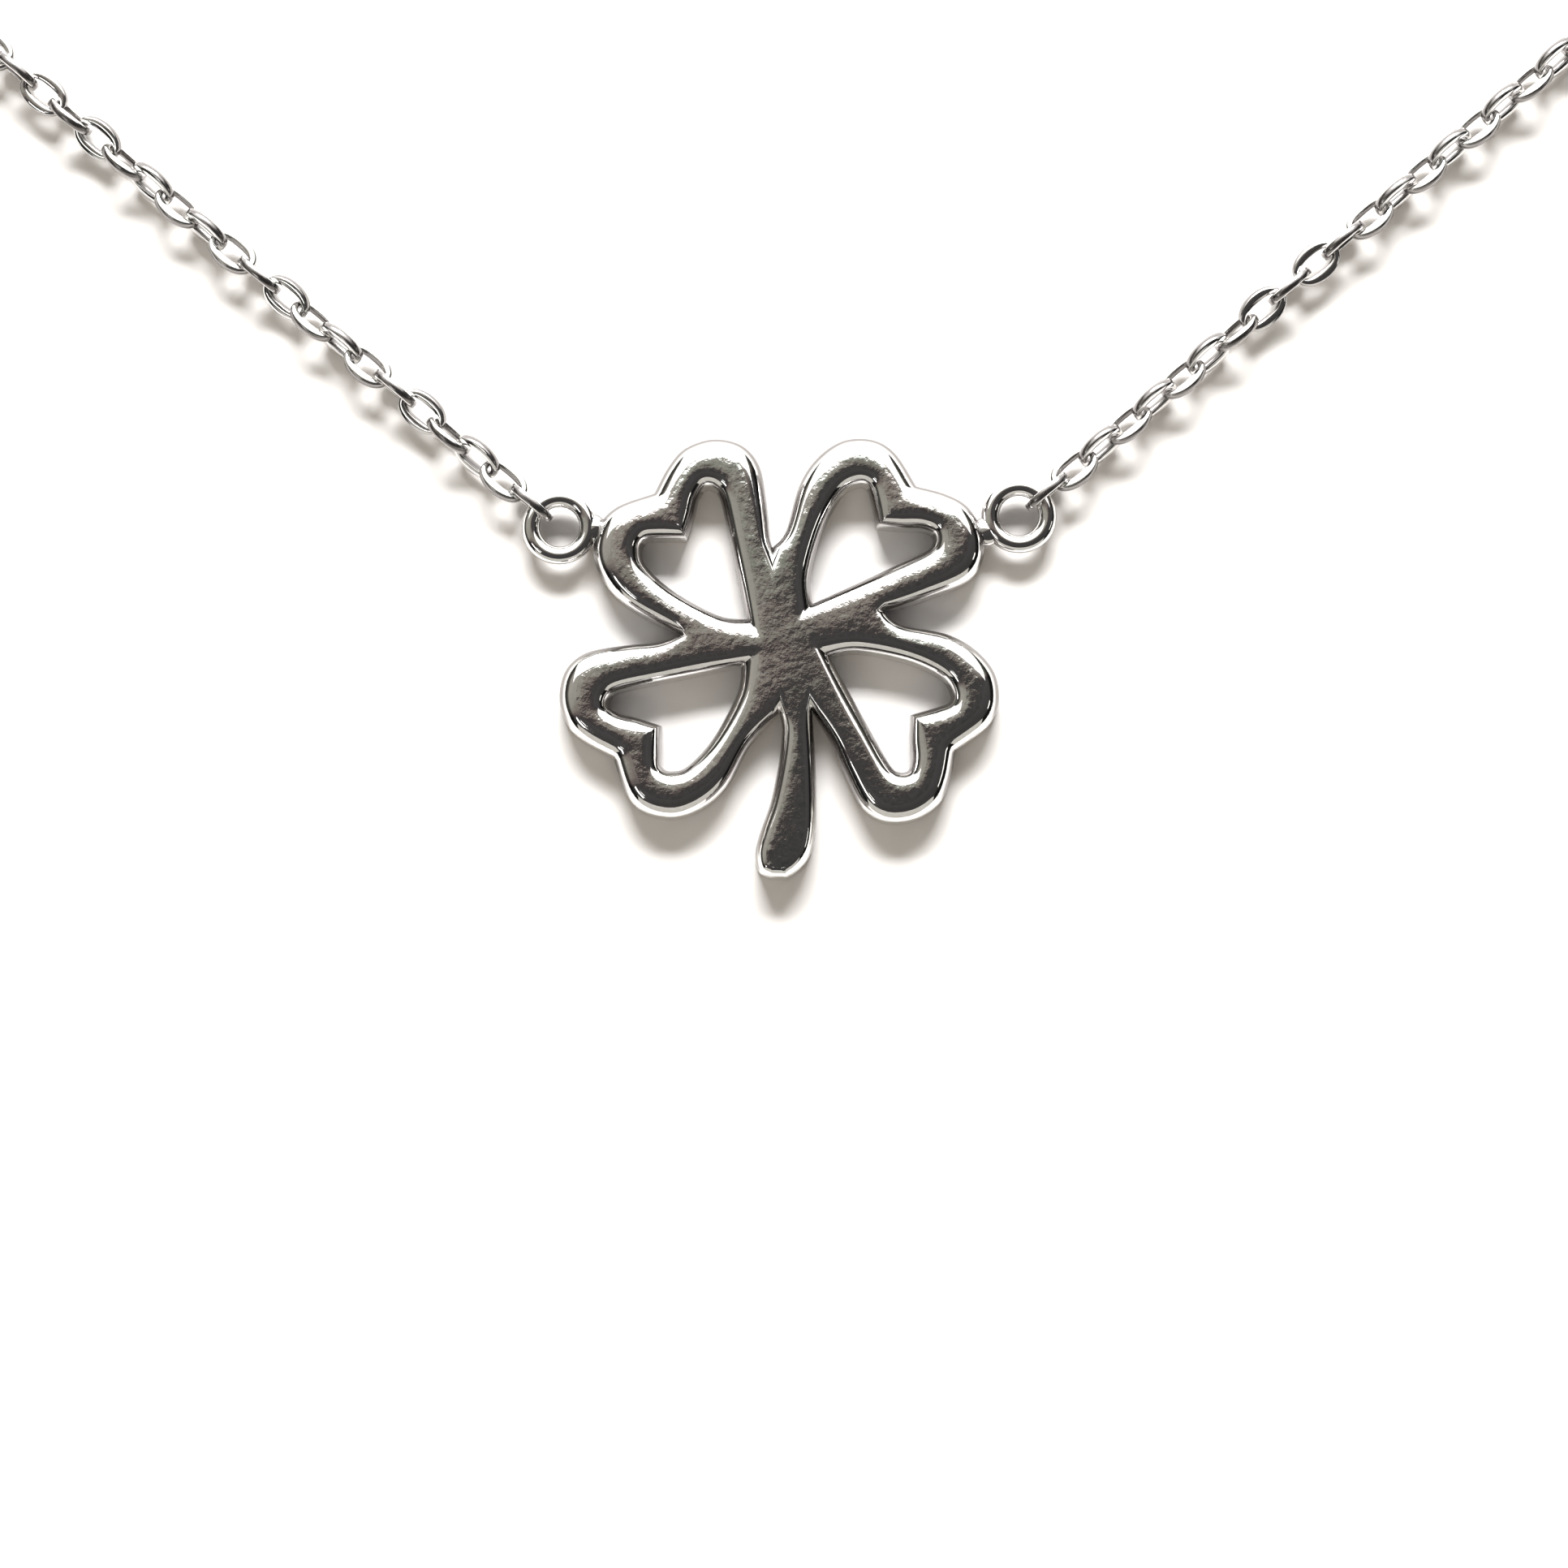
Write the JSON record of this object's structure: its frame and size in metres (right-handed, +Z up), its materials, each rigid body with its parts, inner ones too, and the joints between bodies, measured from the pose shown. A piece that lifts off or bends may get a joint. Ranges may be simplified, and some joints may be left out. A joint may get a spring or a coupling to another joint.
{
  "type": "four leaf clover pendant necklace",
  "caption": "Fine oval-link necklace with an open four leaf clover set in its middle, soldered side loops and a plain ring clasp, lying flat.",
  "frame": {"origin": "centre of the clover's hub on its flat back, which lies on the table", "axes": "+Z up from the table through the clover's thickness, +Y from the clover up the neck to the clasp, +X to the right as seen from above"},
  "size_m": [0.1263, 0.1524, 0.0014],
  "materials": {
    "silver": "polished silver"
  },
  "bodies": {
    "root": {"clover": "silver", "chain_front_left": "silver", "chain_front_right": "silver", "chain_rear_left": "silver", "chain_rear_right": "silver", "end_ring": "silver", "clasp": "silver"}
  },
  "joints": []
}
